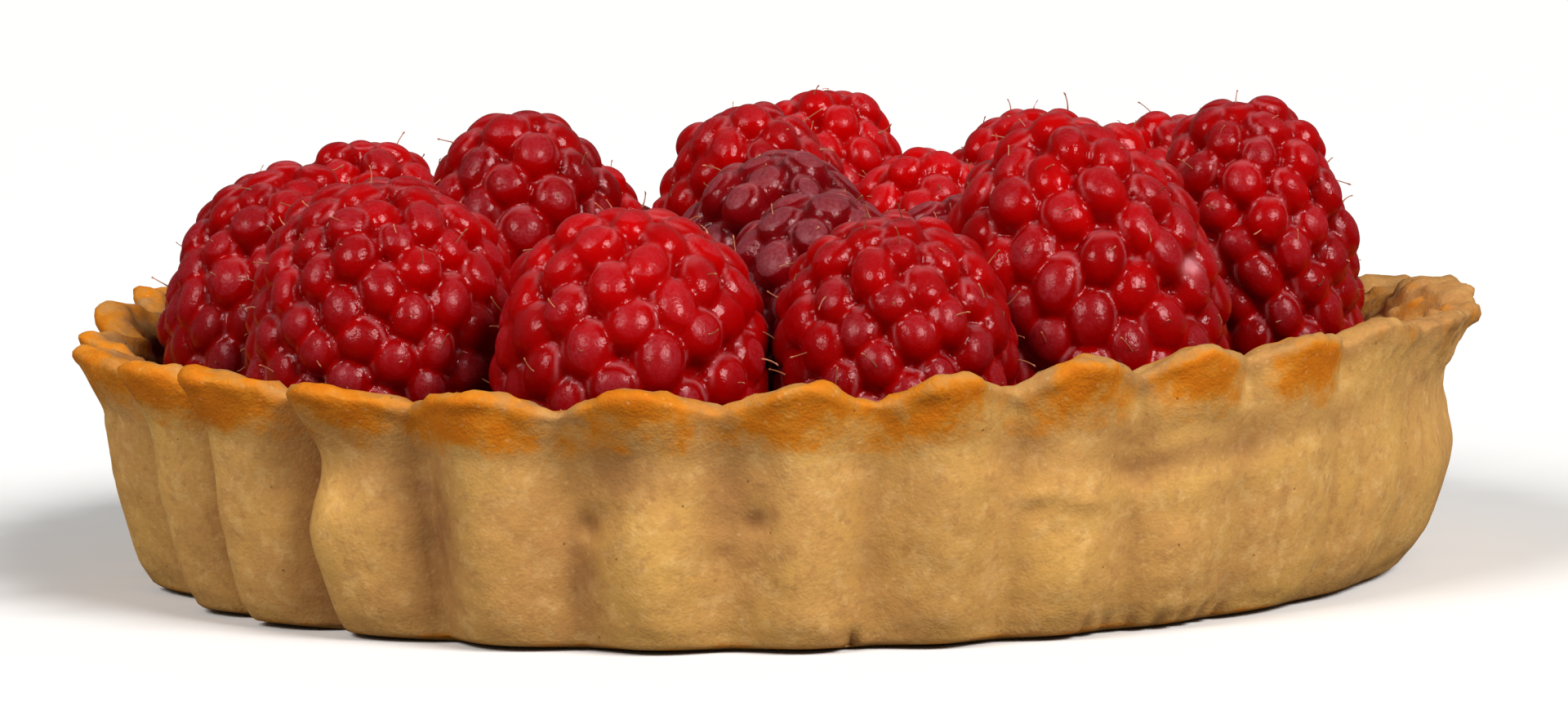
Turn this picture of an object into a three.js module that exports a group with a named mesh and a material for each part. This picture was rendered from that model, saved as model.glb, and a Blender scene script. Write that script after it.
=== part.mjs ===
// A round berry tartlet: a fluted shortcrust case, a layer of dark chocolate filling and whole
// raspberries that stand on it, tips up, pressed lightly against each other and the case.
// Millimetres, +Z up. The origin is the middle of the case's underside; -Y is the front.
import * as THREE from "three";
import { ConvexHull } from "three/addons/math/ConvexHull.js";

// ---- Driving dimensions ----------------------------------------------------------------

const GAP = 0.3; // clearance that keeps neighbouring solids apart

// The case
const RIM_RADIUS = 52.9; // to the crest of a flute, at the rim
const BASE_RADIUS = 48.7; // to the crest of a flute, just above the base
const RIM_HEIGHT = 17.6; // mean height of the rim
const FLOOR_THICKNESS = 4.2;
const WALL_THICKNESS = 3.4;
const FLUTES = 30;
const STEPS_PER_FLUTE = 6;
const FIRST_CREST = 1.7; // degrees round from the front
const FLUTE_DEPTH = 2.9; // crest to crease, where the flutes are crisp
const SCALLOP = 1.5; // how much higher the rim stands at a crest than at a crease
const UNEVEN_RIM = 0.6; // how much the crests' heights differ
const WANDER = 5; // degrees that the flutes stray round from an even spacing
const ROOM_AT_FLOOR = BASE_RADIUS - 5.3; // radius inside, clear of every crease
const ROOM_AT_RIM = RIM_RADIUS - WALL_THICKNESS - 1.6;

// Stretches of the case that differ from the rest. at is the bearing of the middle, in degrees
// round from the front towards +x, spread how far off it fades out and by how much it shows.
const SHALLOW_FRONT = { at: -5, spread: 40, by: 0.3 }; // share of the flutes' depth lost
const SLUMPED_RIGHT = { at: 48, spread: 50, by: 0.7 }; // the same, below the rim
const SLUMPED_SIDE = { at: 90, spread: 35, by: 0.35 };
const SOFT_CREASES = { at: 5, spread: 45, by: 0.7 }; // share by which the creases round off
const HIGH_RIGHT = { at: 55, spread: 68, by: 1.9 }; // how much higher the rim stands
const HIGH_BACK_LEFT = { at: -108, spread: 32, by: 1.8 };
const SAG_RIGHT = { at: 70, spread: 75, by: 0.8 }; // share of the wall's sag
const SAG_LEFT = { at: -38, spread: 10, by: 0.5 };
const SAG_ALL_ROUND = 0.2;

// The sagged wall's shape, by height.
const BELLY = { at: 7, spread: 5, by: 0.3 };
const FOLD = { at: 13.3, spread: 5.5, by: 1.6 };
const TUCK = { at: 0, spread: 4, by: 0.9 };
const SLUMP_TOP = [13, 17]; // the slumped flutes come back between these heights

// The filling
const FILLING_LEVEL = 12.6; // in the middle
const FILLING_LIP = 15.0; // where it creeps up the case
const LIP_START = 38; // radius at which it starts to rise

// The berries
const WAIST = 17.5; // height of a berry's widest level
const SKIRT = 8.5; // how far a berry would round off below its waist
const DRUPELET = 4.0; // distance from one drupelet to the next
const RELIEF = 0.95; // how far a drupelet stands proud of the seams round it

// One row for each berry: its middle (x, y), the height of its tip, its width, the way it
// leans (degrees towards +x, degrees towards +y) and how blunt it is: 2 is an egg, more is
// squarer in the shoulders.
const BERRIES = [
  // front and sides
  { x: -37.3, y: -4.0, tip: 31.0, width: 19.4, lean: [3, 2], blunt: 2.2 },
  { x: -28.1, y: -22.5, tip: 31.0, width: 20.2, lean: [0, -2], blunt: 2.2 },
  { x: -10.2, y: -35.2, tip: 29.7, width: 19.4, lean: [2, 3], blunt: 2.0 },
  { x: 7.9, y: -35.2, tip: 28.7, width: 17.2, lean: [-1, 4], blunt: 2.1 },
  { x: 22.3, y: -20.5, tip: 34.5, width: 21.2, lean: [-7, 2], blunt: 2.1 },
  { x: 36.2, y: -1.0, tip: 34.8, width: 17.0, lean: [-3, 0], blunt: 2.6 },
  // second row
  { x: -18.4, y: -2.5, tip: 34.3, width: 17.4, lean: [0, 2], blunt: 2.4 },
  { x: 3.0, y: -19.2, tip: 29.4, width: 16.6, lean: [0, 3], blunt: 2.2 },
  { x: 0.8, y: -3.4, tip: 31.4, width: 17.4, lean: [-3, 3], blunt: 2.2 },
  { x: 14.0, y: -6.2, tip: 27.8, width: 15.6, lean: [3, 4], blunt: 2.1 },
  { x: -11.2, y: -18.0, tip: 25.6, width: 16.4, lean: [-4, 4], blunt: 2.1 },
  { x: 24.4, y: 2.6, tip: 27.4, width: 15.4, lean: [4, 3], blunt: 2.1 },
  // behind
  { x: -33.2, y: 17.0, tip: 31.4, width: 17.4, lean: [4, 2], blunt: 2.2 },
  { x: -16.6, y: 15.8, tip: 31.0, width: 17.2, lean: [5, 4], blunt: 2.2 },
  { x: -2.0, y: 14.2, tip: 34.0, width: 18.6, lean: [-1, 2], blunt: 2.2 },
  { x: 11.6, y: 11.0, tip: 30.4, width: 15.8, lean: [0, 3], blunt: 2.2 },
  { x: 31.0, y: 15.4, tip: 32.6, width: 17.2, lean: [-2, 4], blunt: 2.2 },
  { x: 21.2, y: 29.8, tip: 32.6, width: 17.4, lean: [-1, 2], blunt: 2.3 },
  { x: 4.4, y: 33.4, tip: 34.3, width: 16.0, lean: [-1, 3], blunt: 2.3 },
  { x: -9.4, y: 36.0, tip: 23.6, width: 16.0, lean: [2, -4], blunt: 2.1 },
  { x: -23.6, y: 31.2, tip: 28.0, width: 17.2, lean: [3, 3], blunt: 2.1 },
];

// ---- Small helpers ---------------------------------------------------------------------

const radians = THREE.MathUtils.degToRad;
const mix = THREE.MathUtils.lerp;
const ramp = THREE.MathUtils.smoothstep; // ramp(value, from, to) climbs smoothly from 0 to 1

// A repeatable draw from 0 to 1 for a whole number.
function draw(number) {
  const wave = Math.sin(number * 12.9898 + 4.1414) * 43758.5453;
  return wave - Math.floor(wave);
}

// How much a stretch shows at a distance from its middle, and at a bearing.
const shows = (stretch, distance) =>
  stretch.by * (1 - ramp(Math.abs(distance), 0, stretch.spread));
const showsAt = (stretch, bearing) =>
  shows(stretch, ((bearing - stretch.at + 540) % 360) - 180);

// The height of the filling's top. It climbs ever faster outwards, so a berry held above it
// at its vertices is above it all over.
function fillingTop(radius) {
  const climb = Math.max(0, (radius - LIP_START) / (fillingRadius(FILLING_LIP) - LIP_START));
  return mix(FILLING_LEVEL, FILLING_LIP, climb * climb);
}

// The radius of the room inside the case at a height, clear of every flute's crease.
function roomRadius(z) {
  const climb = (z - FLOOR_THICKNESS) / (RIM_HEIGHT - FLOOR_THICKNESS);
  return mix(ROOM_AT_FLOOR, ROOM_AT_RIM, climb);
}

const fillingRadius = (z) => roomRadius(z) - GAP;

// ---- The case --------------------------------------------------------------------------

// How deep the flutes are: crisp at the left and behind, shallower in front, and slumped
// nearly flat at the right below the rim.
function fluteDepth(bearing, z) {
  const slumped = showsAt(SLUMPED_RIGHT, bearing) + showsAt(SLUMPED_SIDE, bearing);
  const kept = 1 - 0.7 * ramp(z, ...SLUMP_TOP);
  return FLUTE_DEPTH * (1 - showsAt(SHALLOW_FRONT, bearing) - slumped * kept);
}

// The bearing of a step round the case. The flutes' widths wander, as the dough was pushed
// into its tin by hand.
function bearingOf(step) {
  const even = FIRST_CREST + (step * 360) / (FLUTES * STEPS_PER_FLUTE);
  return even - WANDER * Math.sin(radians(1.5 * even)) ** 2;
}

// 0 at a crest and 1 at a crease. The creases are sharp but for the soft ones in front.
function creaseAt(step, bearing) {
  const wave = Math.abs(Math.cos((Math.PI * step) / STEPS_PER_FLUTE));
  return mix(1 - wave, 1 - wave ** 2, showsAt(SOFT_CREASES, bearing));
}

// How far the rim stands above its mean height.
function rimRise(step, bearing) {
  const flute = Math.round(step / STEPS_PER_FLUTE) % FLUTES;
  const uneven = UNEVEN_RIM * (draw(flute + 3) - 0.5);
  const side = showsAt(HIGH_RIGHT, bearing) + showsAt(HIGH_BACK_LEFT, bearing);
  const crease = creaseAt(step, bearing);
  return side + uneven * (1 - crease) + SCALLOP * (0.45 - crease);
}

// How far the wall strays outwards as it sagged in the tin: a belly with a fold above it and
// a tucked foot, strong at the right and faint elsewhere.
function sagAt(bearing, z) {
  const share = SAG_ALL_ROUND + showsAt(SAG_RIGHT, bearing) + showsAt(SAG_LEFT, bearing);
  return share * (shows(BELLY, z - BELLY.at) - shows(FOLD, z - FOLD.at) - shows(TUCK, z));
}

// The case's section, from the middle of its underside out, up, over the rim and back in.
// flute says how much of the flutes' depth a point follows, rise how much of the rim's height
// and sag how much of the wall's sag.
function caseSection() {
  const top = RIM_HEIGHT;
  const base = BASE_RADIUS;
  const inside = (z) => roomRadius(z) + 1.6;
  return [
    { r: 0, z: 0, flute: 0, rise: 0, sag: 0 },
    { r: base - 3.2, z: 0, flute: 0.3, rise: 0, sag: 0 },
    { r: base - 0.6, z: 0.5, flute: 0.7, rise: 0, sag: 1 },
    { r: base + 0.3, z: 2.0, flute: 0.9, rise: 0, sag: 1 },
    { r: base + 1.5, z: 6.6, flute: 1, rise: 0.1, sag: 1 },
    { r: base + 2.3, z: 10.4, flute: 1, rise: 0.3, sag: 1 },
    { r: base + 2.9, z: 13.4, flute: 1, rise: 0.6, sag: 1 },
    { r: RIM_RADIUS, z: top - 0.4, flute: 1, rise: 1, sag: 1 },
    { r: RIM_RADIUS - 1.0, z: top + 0.3, flute: 0.9, rise: 1, sag: 1 },
    { r: RIM_RADIUS - WALL_THICKNESS + 0.9, z: top, flute: 0.75, rise: 1, sag: 0.5 },
    { r: inside(top - 1.4), z: top - 1.4, flute: 0.55, rise: 0.9, sag: 0 },
    { r: inside(FLOOR_THICKNESS), z: FLOOR_THICKNESS, flute: 0.3, rise: 0, sag: 0 },
    { r: 0, z: FLOOR_THICKNESS, flute: 0, rise: 0, sag: 0 },
  ];
}

function pastryCase() {
  const section = caseSection();
  const turns = FLUTES * STEPS_PER_FLUTE;
  const profile = section.map((point) => new THREE.Vector2(point.r, point.z));
  const geometry = new THREE.LatheGeometry(profile, turns);
  const position = geometry.getAttribute("position");
  for (let index = 0; index < position.count; index++) {
    const point = section[index % section.length];
    const step = Math.floor(index / section.length) % turns;
    const bearing = bearingOf(step);
    const depth = fluteDepth(bearing, point.z) * creaseAt(step, bearing);
    const stray = point.sag * sagAt(bearing, point.z) - point.flute * depth;
    const radius = point.r === 0 ? 0 : point.r + stray;
    const height = point.z + point.rise * rimRise(step, bearing);
    const turn = radians(bearing);
    position.setXYZ(index, radius * Math.sin(turn), -radius * Math.cos(turn), height);
  }
  return geometry;
}

// ---- The filling -----------------------------------------------------------------------

function chocolateFilling() {
  const SEGMENTS = 48;
  const bottom = FLOOR_THICKNESS + GAP;
  const side = [bottom, FILLING_LIP].map((z) => new THREE.Vector2(fillingRadius(z), z));
  const top = [44, LIP_START].map((r) => new THREE.Vector2(r, fillingTop(r)));
  const profile = [
    new THREE.Vector2(0, bottom),
    ...side,
    ...top,
    new THREE.Vector2(0, FILLING_LEVEL),
  ];
  const geometry = new THREE.LatheGeometry(profile, SEGMENTS);
  geometry.rotateX(Math.PI / 2);
  return geometry;
}

// ---- The berries -----------------------------------------------------------------------

const middleOf = (berry) => new THREE.Vector3(berry.x, berry.y, WAIST);

// The point of a berry's smooth body in a direction from its middle: a blunt egg, taller
// above its waist than below, turned by its lean.
function bodyPoint(berry, direction) {
  const half = berry.width / 2;
  const tall = direction.z > 0 ? berry.tip - WAIST : SKIRT;
  const across = Math.hypot(direction.x, direction.y) / half;
  const along = Math.abs(direction.z) / tall;
  const reach = (across ** berry.blunt + along ** berry.blunt) ** (-1 / berry.blunt);
  const lean = new THREE.Euler(-radians(berry.lean[1]), radians(berry.lean[0]), 0);
  return direction.clone().setLength(reach).applyEuler(lean);
}

// The directions of a berry's drupelets: rings from the tip down, each drupelet about as
// far from the next as it is wide, and none quite where the pattern would put it.
function drupeletDirections(berry, seed) {
  const LOWEST = 118; // degrees down from the tip, below which a berry is plain
  const ROW = 0.88; // distance between rings, as a share of a drupelet
  const SHUFFLE = 0.3; // how far a drupelet strays, as a share of its size
  const radiusAt = (angle) => {
    const direction = new THREE.Vector3(Math.sin(angle), 0, Math.cos(angle));
    return bodyPoint({ ...berry, lean: [0, 0] }, direction).length();
  };
  const directions = [];
  let angle = 0;
  for (let ring = 0; angle < radians(LOWEST); ring++) {
    const around = 2 * Math.PI * radiusAt(angle) * Math.sin(angle);
    const count = Math.max(1, Math.round(around / DRUPELET));
    const start = draw(seed + 31 * ring);
    for (let k = 0; k < count; k++) {
      const stray = SHUFFLE * (draw(seed + 7 * directions.length + 1) - 0.5);
      const swing = SHUFFLE * (draw(seed + 7 * directions.length + 2) - 0.5);
      const down = angle + (stray * DRUPELET) / radiusAt(angle);
      const turn = ((start + k + swing) / count) * 2 * Math.PI;
      directions.push(new THREE.Vector3().setFromSphericalCoords(1, down, turn));
    }
    angle += (ROW * DRUPELET) / radiusAt(angle);
  }
  // setFromSphericalCoords measures from +Y; a berry's tip points along +Z.
  return directions.map((d) => new THREE.Vector3(d.x, d.z, d.y));
}

// A few directions that close the plain underside: a ring and one straight down.
function undersideDirections() {
  const SIDES = 7;
  const SLANT = 0.5; // how far the ring's directions slant outwards, against 1 down
  const ring = Array.from({ length: SIDES }, (_, k) => {
    const turn = (k / SIDES) * 2 * Math.PI;
    return new THREE.Vector3(SLANT * Math.cos(turn), SLANT * Math.sin(turn), -1).normalize();
  });
  return [...ring, new THREE.Vector3(0, 0, -1)];
}

// The planes that part a berry from those it touches, each half a gap on its own side.
function contactPlanes(berry) {
  const here = middleOf(berry);
  return BERRIES.filter((other) => other !== berry).map((other) => {
    const way = middleOf(other).sub(here);
    const share = berry.width / (berry.width + other.width);
    const reach = way.length() * share - GAP / 2;
    return { normal: way.normalize(), reach };
  });
}

// True where a berry's surface may be: inside the case and above the filling.
function isFree(point) {
  const radius = Math.hypot(point.x, point.y);
  return radius < roomRadius(point.z) - GAP && point.z > fillingTop(radius) + GAP;
}

// The point moved towards the berry's middle until it is clear of everything round it.
function squeezed(point, middle, planes) {
  let share = 1;
  for (const { normal, reach } of planes) {
    const along = normal.dot(point);
    if (along > reach) share = Math.min(share, reach / along);
  }
  const place = (s) => point.clone().multiplyScalar(s).add(middle);
  if (isFree(place(share))) return place(share);
  let clear = 0;
  for (let halving = 0; halving < 24; halving++) {
    const trial = (clear + share) / 2;
    if (isFree(place(trial))) clear = trial;
    else share = trial;
  }
  return place(clear);
}

// A berry as a closed solid: every drupelet is a low pyramid whose foot runs along the
// seams half way to its neighbours.
function raspberry(berry, seed) {
  const middle = middleOf(berry);
  const planes = contactPlanes(berry);
  const directions = drupeletDirections(berry, seed);
  const plainFrom = directions.length;
  directions.push(...undersideDirections());
  const crowns = directions.map((direction, index) => {
    const body = bodyPoint(berry, direction);
    const sunk = index < plainFrom ? 0 : RELIEF;
    return squeezed(body.setLength(body.length() - sunk), middle, planes);
  });
  const hull = new ConvexHull().setFromPoints(directions);
  const seams = new Map();
  for (const face of hull.faces) {
    const body = bodyPoint(berry, face.normal);
    seams.set(face, squeezed(body.setLength(body.length() - RELIEF), middle, planes));
  }
  const corners = [];
  for (const face of hull.faces) {
    let edge = face.edge;
    do {
      const crown = crowns[directions.indexOf(edge.tail().point)];
      corners.push(crown, seams.get(edge.twin.face), seams.get(face));
      edge = edge.next;
    } while (edge !== face.edge);
  }
  return new THREE.BufferGeometry().setFromPoints(corners);
}

// ---- Materials and the whole -----------------------------------------------------------

const matter = (color, roughness) =>
  new THREE.MeshStandardMaterial({ color, roughness, metalness: 0, flatShading: true });

const shortcrust = matter("#c9974f", 0.85);
const chocolate = matter("#1e0f0c", 0.35);
const ripeFlesh = matter("#a80f1c", 0.4);
const darkFlesh = matter("#5e1524", 0.5);
const DARK_BERRIES = [8, 9, 10, 12]; // numbers of the overripe ones
const SEED_STEP = 100; // keeps one berry's draws apart from the next one's

function named(name, geometry, material) {
  geometry.computeVertexNormals();
  const mesh = new THREE.Mesh(geometry, material);
  mesh.name = name;
  return mesh;
}

const tart = new THREE.Group();
tart.name = "berry_tart";
tart.add(named("pastry_case", pastryCase(), shortcrust));
tart.add(named("chocolate_filling", chocolateFilling(), chocolate));

const fruit = new THREE.Group();
BERRIES.forEach((berry, index) => {
  const number = index + 1;
  const name = `raspberry_${String(number).padStart(2, "0")}`;
  const flesh = DARK_BERRIES.includes(number) ? darkFlesh : ripeFlesh;
  fruit.add(named(name, raspberry(berry, SEED_STEP * number), flesh));
});
tart.add(fruit);

export default tart;
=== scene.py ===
"""The looks of a round raspberry tartlet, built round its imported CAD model.

Everything is in metres in the CAD model's frame: +Z up, -Y the front, the origin in the
middle of the case's underside. Shapes are worked out in millimetres, as a baker measures
them, and scaled by MM when they go into a mesh.
"""

import math

import bmesh
import bpy
import numpy as np
from mathutils import Matrix, Vector


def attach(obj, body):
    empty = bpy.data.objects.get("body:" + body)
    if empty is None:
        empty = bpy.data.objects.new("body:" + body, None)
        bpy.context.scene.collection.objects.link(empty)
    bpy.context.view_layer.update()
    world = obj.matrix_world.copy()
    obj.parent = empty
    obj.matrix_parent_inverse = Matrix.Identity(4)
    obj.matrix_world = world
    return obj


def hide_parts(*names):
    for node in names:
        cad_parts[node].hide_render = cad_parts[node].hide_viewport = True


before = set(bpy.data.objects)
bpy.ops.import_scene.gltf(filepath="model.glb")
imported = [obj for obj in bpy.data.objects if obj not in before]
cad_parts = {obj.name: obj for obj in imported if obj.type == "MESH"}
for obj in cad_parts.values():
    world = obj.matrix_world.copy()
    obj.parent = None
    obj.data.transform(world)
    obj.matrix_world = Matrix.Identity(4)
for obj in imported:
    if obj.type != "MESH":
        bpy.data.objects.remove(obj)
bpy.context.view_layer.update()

MM = 0.001

# ---- The tart's measures ----
# In mm and degrees. They are its solids' own, but for a few berries and stretches of the rim
# that are moved a little.

GAP = 0.3  # kept free between neighbouring pieces
RIM_RADIUS = 52.9  # out to the crests of the flutes
BASE_RADIUS = 48.7
RIM_HEIGHT = 17.6
FLOOR_THICKNESS = 4.2
WALL_THICKNESS = 3.4
FLUTES = 30
STEPS_PER_FLUTE = 6  # places round a flute at which its solid has a corner
FIRST_CREST = 1.7  # how far round from the front the first crest is
FLUTE_DEPTH = 2.9
SCALLOP = 1.5  # how much lower the rim is in a crease than on a crest
UNEVEN_RIM = 0.6  # by how much one crest can stand higher than another
WANDER = 5  # how far the flutes stray from even places, three times round
ROOM_AT_FLOOR = BASE_RADIUS - 5.3  # how wide the case is inside, as a radius
ROOM_AT_RIM = RIM_RADIUS - WALL_THICKNESS - 1.6

# Stretches round the case: the bearing of its middle, how far it spreads to either side and
# how much it shows. Bearings are degrees round from the front towards +x.
SHALLOW_FRONT = (-5, 40, 0.3)
SLUMPED_RIGHT = (48, 50, 0.7)
SLUMPED_SIDE = (90, 35, 0.35)
SOFT_CREASES = (5, 45, 0.7)
LEANING_LEFT = (-54, 38, 0.55)
DEEP_LEFT = (-58, 44, 0.6)
FLAT_FLAP = (72, 30, 0.9)
HIGH_RIGHT = (55, 68, 1.9)
HIGH_BACK_LEFT = (-108, 32, 1.8)
SAG_RIGHT = (70, 75, 0.8)
SAG_LEFT = (-38, 10, 0.5)
SOFT_FOLD = (40, 48, 0.95)
TORN_FLAP = (85, 50, 1.6)
FLARED_LEFT = (-62, 34, 0.9)
PRESSED_IN = (108, 34, 6.0)  # the wall's inner side only, folded in over the filling

# How the wall sags: its share all round, and its form by height, each as the height of its
# middle, how far it spreads up and down, and how much it shows.
SAG_ALL_ROUND = 0.2
BELLY = (7, 5, 0.3)
FOLD = (13.3, 5.5, 1.6)
TUCK = (0, 4, 0.9)
SLUMP_TOP = (13, 17)  # the heights between which a slumped flute finds its depth again,
SLUMP_HEALED = 0.7  # and the share of it that it finds
PRESSED_HEIGHTS = (8, 13)  # the heights between which the pressed-in side comes forward

FILLING_LEVEL = 12.6
FILLING_LIP = 15.0  # how high the filling climbs where it meets the case
LIP_START = 38  # how far from the middle it starts to climb

WAIST = 17.5  # the height at which the berries are widest
SKIRT = 8.5  # how far they reach below that

# The berries in the order of their numbers: x, y, tip height, width, lean towards +x and +y in
# degrees, bluntness, drupelet size, and how bright a red from 0 to 1
BERRY_MEASURES = (
    (-37.1, -4.0, 31.0, 19.2, (4, 2), 2.05, 3.6, 0.3),
    (-28.1, -22.5, 31.0, 20.6, (0, -2), 2.3, 3.5, 0.4),
    (-10.2, -35.2, 29.7, 19.8, (2, 3), 2.15, 3.9, 0.65),
    (7.9, -35.2, 28.7, 17.6, (-1, 4), 2.25, 3.5, 0.4),
    (22.3, -20.5, 34.5, 21.2, (-7, 2), 2.1, 4.0, 0.5),
    (36.3, -1.0, 34.4, 16.5, (-5.5, 0), 2.55, 3.6, 0.35),
    (-18.9, -2.5, 34.8, 17.2, (-1, 2), 2.4, 4.0, 0.15),
    (3.0, -19.2, 29.4, 16.6, (0, 3), 2.2, 3.8, 0.2),
    (0.8, -3.4, 31.4, 17.4, (-3, 3), 2.2, 3.8, 0.2),
    (14.0, -6.2, 27.8, 15.6, (3, 4), 2.1, 3.6, 0.5),
    (-11.2, -18.0, 25.6, 16.4, (-4, 4), 2.1, 3.6, 0.4),
    (24.4, 2.6, 27.4, 15.4, (4, 3), 2.1, 3.6, 0.5),
    (-33.2, 17.0, 31.4, 17.4, (4, 2), 2.2, 3.5, 0.5),
    (-17.2, 15.8, 30.0, 17.0, (5, 4), 2.2, 3.5, 0.5),
    (-1.6, 14.2, 34.0, 18.0, (-1, 2), 2.2, 3.8, 0.35),
    (11.6, 11.0, 30.4, 15.8, (0, 3), 2.2, 3.5, 0.8),
    (31.0, 15.4, 32.6, 17.2, (-2, 4), 2.2, 3.5, 0.6),
    (21.2, 29.8, 32.6, 17.4, (-1, 2), 2.3, 3.5, 0.7),
    (4.4, 33.4, 34.3, 16.0, (-1, 3), 2.3, 3.5, 0.75),
    (-9.4, 36.0, 23.6, 16.0, (2, -4), 2.1, 3.5, 0.5),
    (-23.6, 31.2, 28.0, 17.2, (3, 3), 2.1, 3.5, 0.5),
)
BERRIES = {f"raspberry_{number:02}": row for number, row in enumerate(BERRY_MEASURES, 1)}
DUSKY = ("raspberry_08", "raspberry_09", "raspberry_10", "raspberry_12")

# ---- Small helpers ----


def draw(number):
    """A repeatable draw from 0 to 1 for a whole number, or an array of them."""
    wave = np.sin(np.asarray(number, float) * 12.9898 + 4.1414) * 43758.5453
    return wave - np.floor(wave)


def mix(low, high, share):
    return low + (high - low) * share


def ramp(value, low, high):
    """Climbs smoothly from 0 at low to 1 at high."""
    share = np.clip((np.asarray(value, float) - low) / (high - low), 0, 1)
    return share * share * (3 - 2 * share)


def shows(stretch, distance):
    """How much a stretch shows at a distance from its middle."""
    return stretch[2] * (1 - ramp(np.abs(distance), 0, stretch[1]))


def hump(value, middle, spread):
    """A smooth hump: 1 at its middle, and all but gone at twice its spread from there."""
    return np.exp(-((value - middle) / spread) ** 2)


def turned(bearing, middle):
    """How far a bearing is from a middle, from -180 to 180 degrees."""
    return (bearing - middle + 540) % 360 - 180


def shows_at(stretch, bearing):
    return shows(stretch, turned(bearing, stretch[0]))


def mottle(points, size, seed):
    """Smooth unevenness from -1 to 1 with lumps of about the given size, in mm."""
    place = np.asarray(points, float) / size + seed * 7.31
    cell = np.floor(place)
    inside = place - cell
    inside = inside * inside * (3 - 2 * inside)
    total = np.zeros(len(place))
    for corner in range(8):
        step = np.array([corner & 1, corner >> 1 & 1, corner >> 2 & 1])
        key = (cell + step) @ np.array([1.0, 57.0, 113.0]) + seed * 3.7
        weight = np.prod(np.where(step == 1, inside, 1 - inside), axis=1)
        total += weight * (draw(key % 9973) * 2 - 1)
    return total


def lumps(points, layers):
    """Adds up unevenness of several sizes, each (how much, its size in mm, its seed)."""
    return sum(much * mottle(points, size, seed) for much, size, seed in layers)


def filling_top(radius):
    """The filling's height at a radius: level, and drawn up where it meets the case."""
    climb = np.clip((radius - LIP_START) / (room_radius(FILLING_LIP) - GAP - LIP_START), 0, None)
    return mix(FILLING_LEVEL, FILLING_LIP, climb * climb)


def room_radius(height):
    """How wide the case is inside at a height, as a radius."""
    climb = (height - FLOOR_THICKNESS) / (RIM_HEIGHT - FLOOR_THICKNESS)
    return mix(ROOM_AT_FLOOR, ROOM_AT_RIM, climb)


def corners_of(mesh):
    """A mesh's vertices in millimetres."""
    flat = np.zeros(len(mesh.vertices) * 3, np.float32)
    mesh.vertices.foreach_get("co", flat)
    return flat.reshape(-1, 3).astype(float) / MM


def set_corners(mesh, points):
    mesh.vertices.foreach_set("co", (points * MM).astype(np.float32).ravel())
    mesh.update()


def normals_of(mesh):
    flat = np.zeros(len(mesh.vertices) * 3, np.float32)
    mesh.vertex_normals.foreach_get("vector", flat)
    return flat.reshape(-1, 3).astype(float)


def unit(ways):
    """The same ways, each with a length of 1."""
    return ways / np.linalg.norm(ways, axis=1)[:, None]


def remember(mesh, **kept):
    """Keeps named numbers for each vertex, for the material to read."""
    for name, values in kept.items():
        attribute = mesh.attributes.new(name, "FLOAT", "POINT")
        attribute.data.foreach_set("value", np.asarray(values, np.float32))


def put_down_all():
    bpy.ops.object.select_all(action="DESELECT")


def pick(piece):
    put_down_all()
    piece.select_set(True)
    bpy.context.view_layer.objects.active = piece


def make(operator, **settings):
    """Adds an object the way its menu does, and returns it."""
    put_down_all()
    operator(**settings)
    return bpy.context.object


def set_down(name, mesh):
    """Puts a copy into the scene, picked together with those already picked."""
    copy = bpy.data.objects.new(name, mesh)
    bpy.context.scene.collection.objects.link(copy)
    copy.select_set(True)
    bpy.context.view_layer.objects.active = copy


def modify(piece, kind, **settings):
    """Gives the piece that is picked a modifier, sets it and applies it."""
    modifier = piece.modifiers.new(kind.lower(), kind)
    for key, value in settings.items():
        setattr(modifier, key, value)
    bpy.ops.object.modifier_apply(modifier=modifier.name)


def edit(piece, work):
    """Runs edit-mode work on a piece with everything on it selected."""
    pick(piece)
    bpy.ops.object.mode_set(mode="EDIT")
    bpy.ops.mesh.select_all(action="SELECT")
    work()
    bpy.ops.object.mode_set(mode="OBJECT")


def finish_piece(piece, name, material, angle):
    """Names a piece, smooths it, gives it its material and lets it ride on the tart."""
    piece.name = piece.data.name = name
    pick(piece)
    bpy.ops.object.shade_smooth_by_angle(angle=math.radians(angle))
    piece.data.materials.append(material)
    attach(piece, "root")


# ---- Materials ----


def colour(code, strength=1.0):
    """An sRGB hex colour as linear light."""
    parts = [int(code[place:place + 2], 16) / 255 for place in (1, 3, 5)]
    linear = [p / 12.92 if p <= 0.04045 else ((p + 0.055) / 1.055) ** 2.4 for p in parts]
    return (*[strength * part for part in linear], 1.0)


def add(tree, kind, links=(), **settings):
    """Adds a shader node. Links are (socket name or number, value or socket that feeds it)."""
    made = tree.nodes.new("ShaderNode" + kind)
    for key, value in settings.items():
        setattr(made, key, value)
    for key, value in links:
        if isinstance(value, bpy.types.NodeSocket):
            tree.links.new(value, made.inputs[key])
        else:
            made.inputs[key].default_value = value
    return made


def start_material(name):
    material = bpy.data.materials.new(name)
    material.use_nodes = True
    tree = material.node_tree
    tree.nodes.clear()
    return material, tree


def per_mm(size):
    """The texture scale whose features are about the given size in millimetres."""
    return 1 / (size * MM)


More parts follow.
